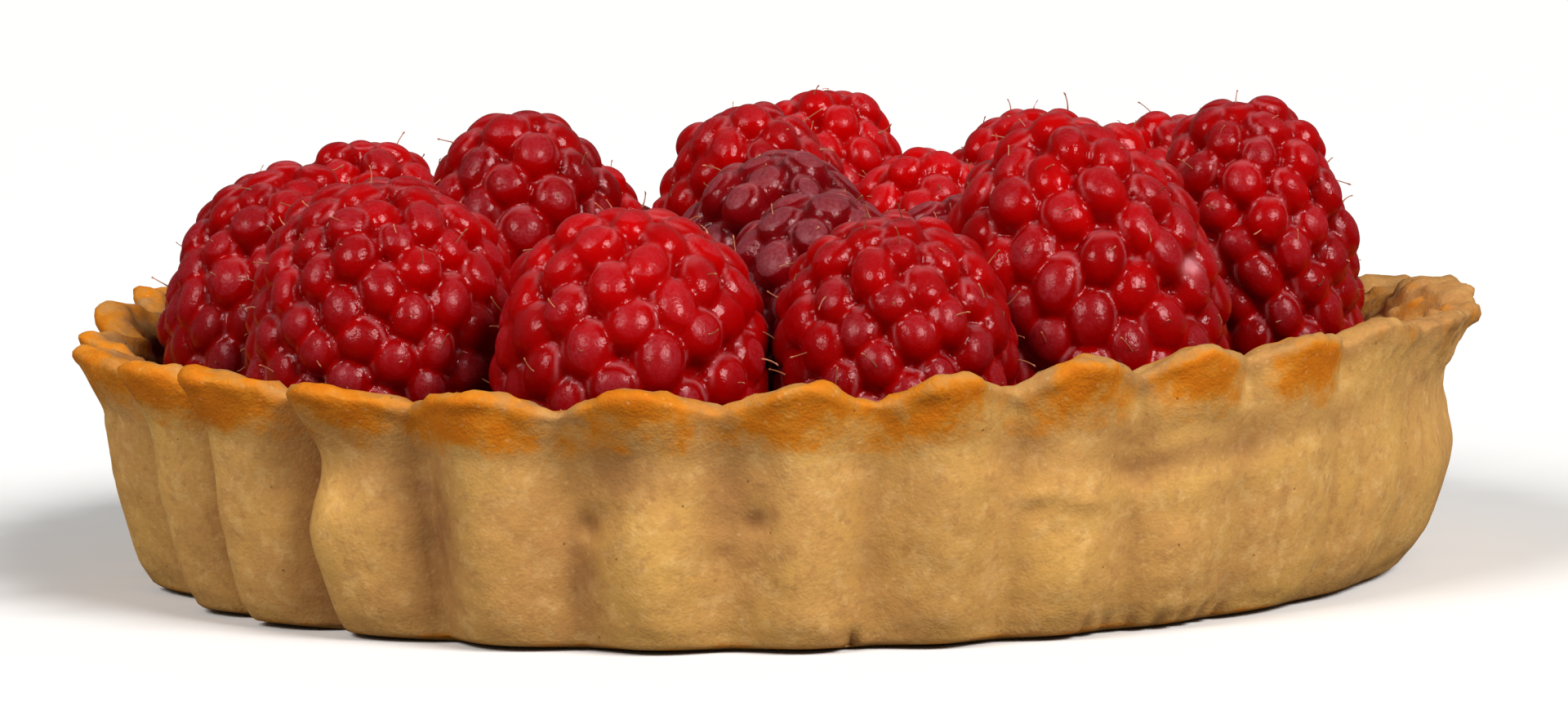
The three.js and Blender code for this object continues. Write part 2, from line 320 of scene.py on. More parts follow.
def fields_of(tree, attributes, noises, ranges=(), steps=()):
    """What a material goes by: numbers kept with its piece's mesh, noises as (name, size of
    their features in mm, detail, how rough that is), ranges as (name, field read, two values
    of that, their own at those) and steps that work out a field from two others."""
    place = add(tree, "TexCoord").outputs["Object"]
    fields = {key: add(tree, "Attribute", attribute_name=key).outputs["Fac"] for key in attributes}
    for name, size, detail, rough in noises:
        fields[name] = add(tree, "TexNoise", [
            ("Vector", place), ("Scale", per_mm(size)), ("Detail", detail), ("Roughness", rough),
        ]).outputs["Fac"]
    for name, source, start, end, at_start, at_end in ranges:
        fields[name] = add(tree, "MapRange", [
            ("Value", fields[source]), ("From Min", start), ("From Max", end),
            ("To Min", at_start), ("To Max", at_end),
        ]).outputs["Result"]
    for name, one, operation, other in steps:
        fields[name] = add(tree, "Math", [
            (0, fields[one]), (1, fields[other]),
        ], operation=operation).outputs[0]
    return place, fields


def lay_colours(tree, surface, fields, coats):
    """Lays coats of colour over a surface, each (the field it shows by, two values of that,
    its share at those, its colour, and the strength of that where it isn't 1)."""
    for name, start, end, at_start, at_end, *tint in coats:
        share = add(tree, "MapRange", [
            ("Value", fields[name]), ("From Min", start), ("From Max", end),
            ("To Min", at_start), ("To Max", at_end),
        ])
        surface = add(tree, "Mix", [
            ("Factor", share.outputs["Result"]), (6, surface), (7, colour(*tint)),
        ], data_type="RGBA").outputs[2]
    return surface


def height_of(tree, fields, weights):
    """Adds up noises for a bump, each (name, weight)."""
    height = 0.0
    for name, weight in weights:
        height = add(tree, "Math", [
            (0, fields[name]), (1, weight), (2, height),
        ], operation="MULTIPLY_ADD").outputs[0]
    return height


def end_material(material, tree, looks, bump=()):
    """Gives a material its shader, with the bump that its surface has, if any."""
    if bump:
        looks = [*looks, ("Normal", add(tree, "Bump", bump).outputs["Normal"])]
    shader = add(tree, "BsdfPrincipled", looks)
    add(tree, "OutputMaterial", [("Surface", shader.outputs[0])])
    return material


def baked_shortcrust():
    """Butter shortcrust, pressed in a fluted tin by hand and blind baked: a sandy, matt crumb,
    straw to tan, with golden brown where the rim caught the heat, fine grain with a little
    painted sparkle, a few dark specks of bran, and damp marks that carry painted shade."""
    material, tree = start_material("baked_shortcrust")
    place, fields = fields_of(
        tree,
        ("bake", "damp", "smear"),
        (
            ("cloud", 9, 3, 0.55), ("patch", 3.4, 3, 0.6), ("fleck", 1.5, 3, 0.65),
            ("pit", 1.1, 2, 0.6), ("grain", 0.5, 3, 0.65), ("sand", 0.22, 1, 0.5),
        ),
        (
            ("wet_patch", "patch", 0.3, 0.6, 0.6, 1),
            ("hot_patch", "patch", 0.34, 0.66, -0.34, 0.3),
            ("hot_fleck", "fleck", 0.34, 0.66, -0.24, 0.24),
            ("heated", "bake", 0.02, 0.2, 0, 1),
            ("coarser", "bake", 0, 1, 1, 1.9),
            ("shade", "grain", 0.3, 0.7, 0.92, 1.07),
            ("roughness", "smear", 0, 1, 0.74, 0.3),
        ),
        (
            ("wet", "damp", "MULTIPLY", "wet_patch"),
            ("brown", "bake", "ADD", "hot_patch"),
            ("brown", "brown", "ADD", "hot_fleck"),
            ("brown", "brown", "MULTIPLY", "heated"),
        ),
    )
    # Bran specks are about one in 3 mm, drawn a little coarse so that they show, and pale grains
    # of butter and sugar one in a mm, painted lighter as glints.
    for name, size in (("speck", 2.4), ("glint", 0.9)):
        fields[name] = add(tree, "TexVoronoi", [
            ("Vector", place), ("Scale", per_mm(size)), ("Randomness", 1.0),
        ]).outputs["Distance"]

    surface = lay_colours(tree, colour("#ca9553"), fields, (
        ("cloud", 0.38, 0.62, 0, 1, "#d4a155"),
        ("patch", 0.5, 0.72, 0, 0.5, "#d9a856"),
        ("fleck", 0.52, 0.64, 0, 0.42, "#e6ba76"),
        ("pit", 0.44, 0.34, 0, 0.4, "#b07c46"),
        # damp crumb, with painted shade in dents, creases and on the lip
        ("wet", 0, 1, 0, 1, "#946238"),
        ("brown", 0.1, 0.75, 0, 0.95, "#cc7b12"),
        ("brown", 0.6, 1.1, 0, 0.8, "#c86a00"),
    ))
    shade = add(tree, "CombineColor", [(name, fields["shade"]) for name in ("Red", "Green", "Blue")])
    surface = add(tree, "Mix", [
        ("Factor", 1.0), (6, surface), (7, shade.outputs[0]),
    ], data_type="RGBA", blend_type="MULTIPLY").outputs[2]
    surface = lay_colours(tree, surface, fields, (
        ("speck", 0.028, 0.05, 0.6, 0, "#4c2f16"),
        # pale dots painted lighter, as glints
        ("glint", 0.08, 0.2, 0.17, 0, "#ecc88c"),
        ("smear", 0, 1, 0, 1, "#1c0e0b"),
    ))

    height = add(tree, "Math", [
        (0, height_of(tree, fields, (("grain", 0.6), ("sand", 0.5), ("pit", 0.5)))),
        (1, fields["coarser"]),
    ], operation="MULTIPLY")
    bump = [("Strength", 0.22), ("Distance", 0.34 * MM), ("Height", height.outputs[0])]
    return end_material(material, tree, [
        ("Base Color", surface), ("Roughness", fields["roughness"]), ("IOR", 1.46),
        ("Specular IOR Level", 0.2),
        ("Subsurface Weight", 0.12), ("Subsurface Radius", (1.0, 0.6, 0.3)),
        ("Subsurface Scale", 1.0 * MM),
    ], bump)


THICK_BLOOM = 1.2  # how much of the bloom and painted highlight there is where it lies thickest
WHITEST = 3  # how far the painted sheen line, the pale dust and the pale spot go


def raspberry_flesh(name, deep, bright, cap, cap_share, cap_edge, cap_worn, shine):
    """Fresh raspberry skin: thin, moist and see-through over red juice, so light spreads
    inside each drupelet, with a soft shine broken by a matt velvet bloom on the crowns,
    painted paler where the crowns face up, as a highlight."""
    material, tree = start_material(name)
    # The bloom's velvet is finer than a tenth of a mm, and drawn as coarse as it needs to show.
    _, fields = fields_of(
        tree,
        ("bloom", "tone", "ripe", "border", "seam"),
        (("velvet", 0.25, 2, 0.5), ("patch", 1.6, 2, 0.5), ("pucker", 0.7, 2, 0.6)),
        (
            ("cap", "bloom", *cap_edge, 0, 1),
            ("worn", "patch", 0.3, 0.6, cap_worn, 1),
            ("dust", "velvet", 0.32, 0.68, 0.45, THICK_BLOOM),
        ),
        (("cap", "cap", "MULTIPLY", "worn"), ("cap", "cap", "MULTIPLY", "dust")),
    )
    flesh = lay_colours(tree, colour(deep), fields, (
        ("tone", 0, 1, 0, 1, bright),
        # painted shade low on the berry
        ("ripe", 0, 1, 0, 0.7, deep),
        # seams painted bright red: painted light lifting the shade that falls in them
        ("seam", 0, 1, 0, 0.6, bright, 0.9),
        ("cap", 0, THICK_BLOOM, 0, THICK_BLOOM * cap_share, cap),
        # painted sheen line, pale dust with painted top light, and a pale spot
        ("border", 0, WHITEST, 0, 0.3 * WHITEST, "#d98a90"),
    ))
    roughness = add(tree, "MapRange", [
        ("Value", fields["cap"]), ("To Min", shine[0]), ("To Max", shine[1]),
    ])
    bump = [
        ("Strength", 0.42), ("Distance", 0.15 * MM),
        ("Height", height_of(tree, fields, (("velvet", 0.5), ("pucker", 0.9)))),
    ]
    return end_material(material, tree, [
        ("Base Color", flesh), ("Roughness", roughness.outputs["Result"]), ("IOR", 1.4),
        ("Specular IOR Level", 0.32), ("Specular Tint", colour("#ffd2d4")),
        ("Subsurface Weight", 0.85), ("Subsurface Radius", (1.0, 0.05, 0.03)),
        ("Subsurface Scale", 2.6 * MM),
        ("Sheen Weight", 0.04), ("Sheen Roughness", 0.18), ("Sheen Tint", colour("#f0b4bd")),
    ], bump)


def chocolate_ganache():
    """Dark chocolate ganache, poured warm and set: nearly black, smooth and glossy with faint
    waves where it was spread."""
    material, tree = start_material("set_chocolate_ganache")
    _, fields = fields_of(tree, (), (("wave", 4, 2, 0.5),))
    tint = lay_colours(tree, colour("#170a08"), fields, (("wave", 0, 1, 0, 1, "#2a130d"),))
    bump = [("Strength", 0.3), ("Distance", 0.4 * MM), ("Height", fields["wave"])]
    return end_material(material, tree, [
        ("Base Color", tint), ("Roughness", 0.22), ("IOR", 1.47),
        ("Coat Weight", 0.3), ("Coat Roughness", 0.15),
    ], bump)


def dried_style():
    """The withered threads that a raspberry keeps: dry, amber to brown, with a faint shine."""
    material, tree = start_material("dried_raspberry_style")
    _, fields = fields_of(tree, (), (("age", 5, 0, 0.5),))
    tint = lay_colours(tree, colour("#6e3418"), fields, (("age", 0, 1, 0, 1, "#d9865c"),))
    return end_material(material, tree, [
        ("Base Color", tint), ("Roughness", 0.5), ("IOR", 1.5),
    ])


def pale_floor():
    """A plain matt white card that the tart stands on. Black flags lie round it, out of sight:
    the card throws back less light than it shows and hardly glints in fruit."""
    material, tree = start_material("matt_white_card")
    path = add(tree, "LightPath")
    tint = lay_colours(tree, colour("#8c8a88"), path.outputs, (
        ("Is Glossy Ray", 0, 1, 0, 1, "#2a2928"),
        ("Is Camera Ray", 0, 1, 0, 1, "#f8f7f5"),
    ))
    return end_material(material, tree, [
        ("Base Color", tint), ("Roughness", 0.9), ("Specular IOR Level", 0.1),
    ])


SHORTCRUST = baked_shortcrust()
GANACHE = chocolate_ganache()
STYLE = dried_style()
# Each skin: its deep and bright flesh, its colour and share of bloom and painted highlight,
# between which values of that the caps begin and fill out, how worn they are, and its
# roughness off and on them.
RIPE = raspberry_flesh(
    "ripe_raspberry_skin", "#760001", "#b40001", "#a84653", 0.19, (0.3, 0.7), 0.3, (0.16, 0.36)
)
OVERRIPE = raspberry_flesh(
    "dusky_raspberry_skin", "#600105", "#86040b", "#8e4a52", 0.56, (0.3, 0.6), 0.75, (0.2, 0.44)
)

# ---- The case ----

TURNS = 720  # steps round the case, so a flute has 24
PROFILE_STEP = 0.36  # mm between rows on the parts that show
HIDDEN_STEP = 3.0  # the same under the filling and on the underside
ROUNDING = (0.7, 0.22)  # mm along the section: how far a corner's rounding reaches, and its spread
WELD = 0.002  # mm within which points that meet become one


def section_rows():
    """The case's section as rows of radius, height, flute, rise and sag: its solid's own
    rows, sampled closely and with their corners rounded off."""
    top, base = RIM_HEIGHT, BASE_RADIUS
    coarse = np.array([
        (0, 0, 0, 0, 0),
        (base - 3.2, 0, 0.3, 0, 0),
        (base - 0.6, 0.5, 0.7, 0, 1),
        (base + 0.3, 2.0, 0.9, 0, 1),
        (base + 1.5, 6.6, 1, 0.1, 1),
        (base + 2.3, 10.4, 1, 0.3, 1),
        (base + 2.9, 13.4, 1, 0.6, 1),
        (RIM_RADIUS + 0.1, top - 0.2, 1, 1, 1),
        (RIM_RADIUS - 0.7, top + 0.2, 0.9, 1, 1),
        (RIM_RADIUS - WALL_THICKNESS + 0.9, top, 0.75, 1, 0.5),
        (room_radius(top - 1.4) + 1.6, top - 1.4, 0.55, 0.9, 0),
        (room_radius(FLOOR_THICKNESS) + 1.6, FLOOR_THICKNESS, 0.3, 0, 0),
        (0, FLOOR_THICKNESS, 0, 0, 0),
    ], float)
    along = np.concatenate([[0], np.cumsum(np.hypot(*np.diff(coarse[:, :2], axis=0).T))])
    # Where the section is seen: from just inside the foot, over the rim, to the filling.
    seen_from, seen_to = along[1] - 1.5, along[10] + 5.0
    places = np.concatenate([
        np.arange(0, seen_from, HIDDEN_STEP),
        np.arange(seen_from, seen_to, PROFILE_STEP),
        np.arange(seen_to, along[-1], HIDDEN_STEP),
        [along[-1]],
    ])
    reach, spread = ROUNDING
    rounding = np.linspace(-reach, reach, 9)
    weight = hump(rounding, 0, spread)
    weight /= weight.sum()
    rows = np.zeros((len(places), 5))
    for offset, share in zip(rounding, weight):
        for column in range(5):
            rows[:, column] += share * np.interp(places + offset, along, coarse[:, column])
    rows[0], rows[-1] = coarse[0], coarse[-1]
    return rows


def flute_depth(bearing, height):
    """How deep the creases are, which is less where the dough slumped in its tin."""
    slumped = shows_at(SLUMPED_RIGHT, bearing) + shows_at(SLUMPED_SIDE, bearing)
    kept = 1 - SLUMP_HEALED * ramp(height, *SLUMP_TOP)
    share = 1 - shows_at(SHALLOW_FRONT, bearing) - slumped * kept + shows_at(DEEP_LEFT, bearing)
    return FLUTE_DEPTH * share * (1 - shows_at(FLAT_FLAP, bearing))


def crease_at(step, bearing):
    """How far down a flute's side: 0 on its crest, 1 in the crease. On the left the flutes
    lean, so that each hides the crease behind it."""
    turn = 2 * np.pi * step / STEPS_PER_FLUTE
    turn = turn - shows_at(LEANING_LEFT, bearing) * (1 - np.cos(turn))
    wave = np.abs(np.cos(turn / 2))
    return mix(1 - wave, 1 - wave ** 2, shows_at(SOFT_CREASES, bearing))


def rim_rise(step, bearing, crease):
    """How far the rim stands above its height: scalloped, uneven and raised at the sides."""
    flute = np.round(step / STEPS_PER_FLUTE) % FLUTES
    uneven = UNEVEN_RIM * (draw(flute + 3) - 0.5)
    side = shows_at(HIGH_RIGHT, bearing) + shows_at(HIGH_BACK_LEFT, bearing)
    scallop = SCALLOP * (0.45 - crease) * (1 - shows_at(FLAT_FLAP, bearing))
    return side + uneven * (1 - crease) + scallop


def sag_at(bearing, height):
    """How far the wall sags out into its belly, or in at its fold and its foot."""
    share = SAG_ALL_ROUND + shows_at(SAG_RIGHT, bearing) + shows_at(SAG_LEFT, bearing)
    low = shows(BELLY, height - BELLY[0])
    fold = shows(FOLD, height - FOLD[0]) * (1 - shows_at(SOFT_FOLD, bearing))
    return share * (low - fold - shows(TUCK, height))


# Marks that fingers, the tin and the oven left on the wall: bearing, height, spread in
# degrees, spread in mm, how far out (mm) and how dark it is: damp, and painted shade in dents.
MARKS = [
    (-15.4, 9.0, 1.1, 1.0, -0.9, 0.9), (-13.8, 9.8, 1.8, 0.9, -0.35, 0.5),
    (-2.1, 9.3, 1.1, 0.8, -0.6, 0.8), (-12.6, 12.4, 4.6, 2.6, -0.55, 0.75),
    (-6.8, 11.6, 1.6, 2.6, 0.3, 0.0), (-10.0, 5.5, 3.2, 2.6, 0.3, 0.0),
    (-39.0, 12.4, 4.2, 2.4, -0.9, 0.2), (-41.5, 7.2, 2.6, 2.6, 0.5, 0.0),
    (-28.5, 9.0, 2.6, 5.5, -0.35, 0.75), (-28.0, 4.0, 2.0, 3.0, 0.0, 0.4),
    (-16.4, 6.0, 1.8, 5.0, -0.2, 0.6), (-4.6, 11.0, 2.2, 4.0, -0.2, 0.5),
    (7.2, 8.5, 1.5, 6.0, -0.25, 0.4), (19.5, 13.8, 3.0, 1.6, -0.2, 0.5),
    (27.0, 13.4, 5.0, 1.3, -0.25, 0.45), (38.0, 13.0, 5.0, 1.3, -0.3, 0.4),
    (23.0, 4.6, 4.0, 1.8, 0.35, 0.0), (34.0, 5.4, 4.5, 2.0, 0.3, 0.0),
    (20.5, 10.2, 1.6, 0.5, 0.3, 0.0), (24.0, 9.4, 1.8, 0.5, 0.25, 0.0),
    (5.5, 0.5, 0.5, 0.9, -1.0, 0.5), (-21.0, 8.5, 5.0, 9.0, 0.0, 0.32),
    (12.0, 8.5, 4.0, 9.0, 0.0, 0.34),
]
# Nicks that a thumbnail left along the foot, and faint upright lines from the tin, as marks.
NICKS = [(25.5 + 2.4 * number, 0.75, 0.5, 0.7, -0.4, 0.45) for number in range(7)]
TIN_LINES = [
    (bearing, height, 0.35, 4, -0.22, 0.3)
    for bearing, height in ((43.4, 7.5), (53.6, 7.0), (50.6, 8.0))
]
# How far the flutes at the left were squeezed sideways: bearings, and degrees there.
CREST_SHIFTS = ((-90, -74.9, -63.3, -50.7, -37.4, -26), (0, -2.0, 2.8, -0.2, -0.8, 0))
# Where chocolate was wiped up the inside: bearing, height, spread in degrees and mm.
SMUDGE = (-96, 16.2, 7, 1.0)
# Where the rim was left standing higher: bearing, spread in degrees, rise in mm.
RIM_MARKS = (
    (108.5, 4, 0.35), (103, 5, 1.1), (90, 7, 2.0), (-110, 9, 0.6), (-74, 6, -0.5),
)
# Where the oven caught the rim more or less: bearing, spread in degrees, share.
BROWNINGS = (
    (34, 3.5, 0.45), (44.5, 3.5, 0.6), (39.2, 1.6, -0.4),
    (-33, 8, 0.1), (-20, 7, 0.1), (-10, 5, 0.15),
)
# A long fold in the slumped wall: bearings and heights along it.
FOLD_LINE = (
    (14, 18, 24, 29, 34, 39, 45, 52, 60),
    (11.9, 11.9, 11.3, 10.8, 10.9, 11.4, 11.8, 12.2, 12.6),
)
LIP = (RIM_HEIGHT - 2.0, RIM_HEIGHT - 0.2)  # the heights at which the rim's lip starts and is full
EDGE = (5.0, 1.4)  # mm below the rim, between which the oven's browning fills out
SMEARED_UP_TO = (14.6, 15.6)  # the heights between which the filling's smear on the wall ends
# Lumps in the dough, in its crumbly lip and in the torn flap: how far they stand out in mm,
# their size in mm and their seed.
DOUGH_LUMPS = ((0.13, 6.5, 1), (0.09, 2.6, 2), (0.08, 1.3, 3))
LIP_LUMPS = ((0.22, 1.7, 4), (0.24, 1.0, 5))
TORN_LAYERS = ((0.5, 2.4, 8), (0.35, 1.1, 9))


def sum_of(marks, bearing):
    """Adds up marks round the rim, each (bearing, spread in degrees, how much)."""
    return sum(much * hump(turned(bearing, middle), 0, wide) for middle, wide, much in marks)


def wall_marks(bearing, height):
    """How far the marks push the wall out, in mm, and how dark: damp, and painted shade in dents."""
    folded = ramp(bearing, 18, 28) * (1 - 0.5 * ramp(bearing, 40, 46)) * (1 - ramp(bearing, 50, 58))
    above = height - np.interp(bearing, *FOLD_LINE)
    # The dough bulges below its fold and is drawn in just over it, damp and in painted shade there.
    out = folded * 0.18 * (hump(above, -1.1, 1.0) - hump(above, 0.4, 0.8))
    damp = folded * 0.5 * hump(above, 0.8, 1.1)
    for middle, level, wide, tall, push, wet in MARKS + NICKS + TIN_LINES:
        share = hump(turned(bearing, middle), 0, wide) * hump(height, level, tall)
        out += push * share
        damp = np.maximum(damp, wet * share)
    return out, damp


def spun_case(rows):
    """The plain case: its section laid out as a ring of points and spun round the middle."""
    case = make(bpy.ops.mesh.primitive_circle_add, vertices=len(rows), radius=RIM_RADIUS * MM)
    set_corners(case.data, np.stack([0 * rows[:, 0], -rows[:, 0], rows[:, 1]], axis=1))

    def open_at_middle():
        bpy.ops.mesh.select_mode(type="EDGE")
        bpy.ops.mesh.select_all(action="DESELECT")
        shape = bmesh.from_edit_mesh(case.data)
        for edge in shape.edges:
            edge.select = {vertex.index for vertex in edge.verts} == {0, len(rows) - 1}
        bpy.ops.mesh.delete(type="EDGE_FACE")
        bpy.ops.mesh.select_mode(type="VERT")

    edit(case, open_at_middle)
    modify(
        case, "SCREW", steps=TURNS, render_steps=TURNS,
        use_merge_vertices=True, merge_threshold=WELD * MM,
    )

    def close_and_face_out():
        bpy.ops.mesh.remove_doubles(threshold=WELD * MM)
        bpy.ops.mesh.normals_make_consistent(inside=False)

    edit(case, close_and_face_out)
    return case


def browned(points, level, height, bearing, crease, outer):
    """How brown the oven left the case: most on its crests near the rim, and on its foot."""
    left = 1 - ramp(bearing, 10, 30)  # the rim's very top stayed paler on the right
    below = RIM_HEIGHT - level
    patch = 0.85 + 0.4 * mottle(points, 5, 6)
    valley = crease * mix(0.75, 1.0, ramp(bearing, 12, 28))  # and the creases everywhere
    edge = ramp(below, *EDGE) * mix(0.6 * left, 1, ramp(below, -0.2, 0.9)) * outer
    edge *= (1.05 - 0.85 * valley) * patch * (1 - 0.8 * ramp(bearing, 47, 53))
    edge *= 1 + sum_of(BROWNINGS, bearing)
    edge += 0.26 * ramp(level, *LIP) * patch * mix(0.6, 1, left) * (1 - 0.6 * crease)
    foot = 0.9 * hump(height, 0, 0.55) * outer
    inner = 0.3 * (1 - outer) * ramp(level, FLOOR_THICKNESS, RIM_HEIGHT)
    return np.clip(np.maximum(np.maximum(edge, foot), inner), 0, 1.2)


def dampened(damp, level, bearing, crease, outer):
    """How dark the crumb is: damp in marks and inside, painted shade in the creases and on the lip."""
    inner = 0.5 * (1 - outer) * ramp(level, FLOOR_THICKNESS, RIM_HEIGHT) * ramp(-bearing, 0, 40)
    # Painted shade: darker in the creases, most on the left, and on the lip that faces the lamps.
    creases = mix(0.25, 0.9, ramp(-bearing, 24, 40)) * crease * outer * ramp(level, 17.5, 12)
    return np.clip(np.maximum(damp, inner) + creases + 0.66 * ramp(level, *LIP), 0, 1)


def smeared(points, level, height, bearing, outer):
    """Where chocolate clings to the inner side: up to the filling's edge, and in one smudge."""
    poured = 1 - ramp(height + 0.9 * mottle(points, 2.2, 7), *SMEARED_UP_TO)
    poured = np.where(level > FLOOR_THICKNESS + 0.1, poured, 0)
    middle, up, wide, tall = SMUDGE
    wiped = hump(turned(bearing, middle), 0, wide) * hump(height, up, tall)
    wiped = ramp(wiped + 0.3 * mottle(points, 1.5, 12), 0.3, 0.7)
    return (1 - outer) * np.maximum(poured, wiped)


def pastry_case():
    """The case: spun plain, then the flutes, the sag and the marks of the tin pressed in."""
    rows = section_rows()
    case = spun_case(rows)
    points = corners_of(case.data)
    around = np.hypot(points[:, 0], points[:, 1])
    apart = (around[:, None] - rows[None, :, 0]) ** 2 + (points[:, 2:3] - rows[None, :, 1]) ** 2
    radius, level, flute, rise, sag = rows[np.argmin(apart, axis=1)].T
    even = np.degrees(np.arctan2(points[:, 0], -points[:, 1])) + FIRST_CREST
    step = (even - FIRST_CREST) * FLUTES * STEPS_PER_FLUTE / 360
    bearing = even - WANDER * np.sin(np.radians(1.5 * even)) ** 2
    bearing += np.interp(bearing, *CREST_SHIFTS)
    crease = crease_at(step, bearing)
    outer = ramp(sag, 0.4, 0.9)  # 1 on the wall's outer side and 0 on its inner side

    push, damp = wall_marks(bearing, level)
    out = radius + sag * sag_at(bearing, level) - flute * flute_depth(bearing, level) * crease
    out += outer * push
    out += shows_at(FLARED_LEFT, bearing) * (1 - crease) ** 3 * ramp(level, 13, RIM_HEIGHT)
    # The pressed-in side comes forward above the filling, and leans back again to the rim.
    slope = ramp(level, *PRESSED_HEIGHTS) * mix(1, 0.45, ramp(level, 14, RIM_HEIGHT))
    out -= (1 - outer) * shows_at(PRESSED_IN, bearing) * slope
    out = np.where(radius < 0.01, 0, out)
    height = level + rise * (rim_rise(step, bearing, crease) + sum_of(RIM_MARKS, bearing))
    turn = np.radians(bearing)
    points = np.stack([out * np.sin(turn), -out * np.cos(turn), height], axis=1)
    set_corners(case.data, points)

    # Hand-pressed dough is never quite smooth, and a foot that stood on the tin is flat.
    lip = ramp(level, *LIP)
    rough = lumps(points, DOUGH_LUMPS) + lip * lumps(points, LIP_LUMPS)
    rough *= ramp(height, 0.0, 1.5)
    torn = shows_at(TORN_FLAP, bearing) * ramp(height, 12.5, 16) * (1 - 0.5 * outer)
    layers = sum(thick * np.abs(mottle(points, size, seed)) for thick, size, seed in TORN_LAYERS)
    rough += torn * (layers - 0.3)
    points = points + normals_of(case.data) * rough[:, None]
    points[:, 2] += 0.14 * lip * mottle(points, 1.4, 13)
    points[:, 2] = np.maximum(points[:, 2], 0)
    set_corners(case.data, points)

    remember(
        case.data,
        bake=browned(points, level, height, bearing, crease, outer),
        damp=dampened(damp, level, bearing, crease, outer),
        smear=smeared(points, level, height, bearing, outer),
    )
    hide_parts("pastry_case")
    finish_piece(case, "shortcrust_case", SHORTCRUST, 70)


# ---- The filling ----

RINGS = 27  # let into the filling's top, so that it can be waved
RING_WIDTH = 1.5  # mm
WAVE = (0.18, 7, 11)  # the waves of the poured filling: their height and size in mm, their seed
SUNK = 0.15  # mm by which the filling sank as it set


def poured_filling():
    """The set filling: a disc with rings let in, dropped to its level and lifted at the edge."""
    edge = room_radius(FILLING_LIP) - GAP
    filling = make(
        bpy.ops.mesh.primitive_circle_add,
        vertices=180, radius=edge * MM, fill_type="NGON", location=(0, 0, FILLING_LIP * MM),
    )
    bpy.ops.object.transform_apply(location=True, rotation=True, scale=True)

    def let_in_rings():
        for _ in range(RINGS):
            bpy.ops.mesh.inset(thickness=RING_WIDTH * MM, depth=0)
        bpy.ops.mesh.select_all(action="SELECT")

    edit(filling, let_in_rings)
    pick(filling)
    tall = FILLING_LIP - FLOOR_THICKNESS - GAP
    modify(filling, "SOLIDIFY", thickness=tall * MM, offset=-1)
    points = corners_of(filling.data)
    radius = np.hypot(points[:, 0], points[:, 1])
    upper = points[:, 2] > FILLING_LIP - 1
    wave = lumps(points, [WAVE]) * (1 - ramp(radius, 40, edge))
    points[:, 2] = np.where(upper, filling_top(radius) - SUNK + wave, points[:, 2])
    shrink = np.where(upper, 1, (room_radius(FLOOR_THICKNESS) - GAP) / edge)
    points[:, :2] *= shrink[:, None]
    set_corners(filling.data, points)
    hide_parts("chocolate_filling")
    finish_piece(filling, "ganache_filling", GANACHE, 50)


# ---- The berries ----

RELIEF = 1.6  # how far the flesh between drupelets lies below their crowns
ROUNDNESS = 0.545  # half a drupelet's width, as a share of the distance between them
SHOULDERS = 2.08  # how full a drupelet's shoulders are: 2 is round, more is squarer
DEPTH = 1.1  # how deep a drupelet is, as a share of its width
SEATED = 0.9  # how far inside the berry its middle lies, as a share of half its depth
LOWEST = 124  # degrees down from the tip, below which a berry has no drupelets
CELL = 0.84  # a drupelet's patch of skin, as a share of its size squared
GOLDEN_TURN = math.radians(137.508)  # from one drupelet to the next, round the berry
SMALLER_AT_TIP = 0.13  # how much smaller drupelets are round a berry's tip
STRAY = 0.22  # how far a drupelet strays, as a share of its size
TIPWARD = 8  # degrees by which drupelets lean towards the tip, so that they lap like scales
CAP_ANGLE = 42  # degrees round a drupelet from its crown to the edge of its bloom and painted highlight
BORDER_ANGLE = 57  # the same to the painted sheen line that runs round its upper side
BORDER_WIDTH = 3.5  # the spread of that line to either side, in the same degrees
DRY_SPOT = ((29.4, -27.6, 24.0), (0.6, 3.0, 0.5))  # a pale spot on one berry: its place and reach, in mm
SKIN_GRID = 0.23  # mm between the vertices of a berry's skin
SKIN_LUMPS = (0.06, 1.3)  # mm: how far the skin's slight lumps stand out, and their size
SEED_STEP = 100  # keeps each berry's random draws apart from the next one's


def lean_of(lean):
    """The turn of a berry that leans by degrees towards +x and +y."""
    return np.array(Matrix.Rotation(-math.radians(lean[1]), 3, "X")
                    @ Matrix.Rotation(math.radians(lean[0]), 3, "Y"))


def reach_of(directions, tip, width, blunt):
    """How far the smooth body of a berry reaches in each direction from its middle."""
    tall = np.where(directions[:, 2] > 0, tip - WAIST, SKIRT)
    across = np.hypot(directions[:, 0], directions[:, 1]) / (width / 2)
    along = np.abs(directions[:, 2]) / tall
    return (across ** blunt + along ** blunt) ** (-1 / blunt)


def drupelet_directions(tip, width, blunt, size, seed):
    """The drupelets' directions: they wind down from the tip as seeds do in a cone, one
    for each patch of skin of their size, and none quite where the pattern would put it."""
    angles = np.linspace(1e-3, math.radians(LOWEST), 400)
    ways = np.stack([np.sin(angles), 0 * angles, np.cos(angles)], axis=1)
    outline = ways * reach_of(ways, tip, width, blunt)[:, None]
    lengths = np.hypot(*np.diff(outline[:, [0, 2]], axis=0).T)
    strips = lengths * (outline[1:, 0] + outline[:-1, 0]) * math.pi
    area = np.concatenate([[0], np.cumsum(strips)])
    count = int(area[-1] / (CELL * size * size))
    order = np.arange(count)
    angle = np.interp((order + 0.35) / count * area[-1], area, angles)
    reach = np.interp(angle, angles, np.linalg.norm(outline, axis=1))
    stray = STRAY * (draw(seed + 7 * order + 1) - 0.5)
    swing = STRAY * (draw(seed + 7 * order + 2) - 0.5)
    down = np.abs(angle + stray * size / reach)
    turn = GOLDEN_TURN * order + seed + swing * size / (reach * np.maximum(np.sin(angle), 0.3))
    return np.stack([np.sin(down) * np.sin(turn), np.sin(down) * np.cos(turn), np.cos(down)], axis=1)


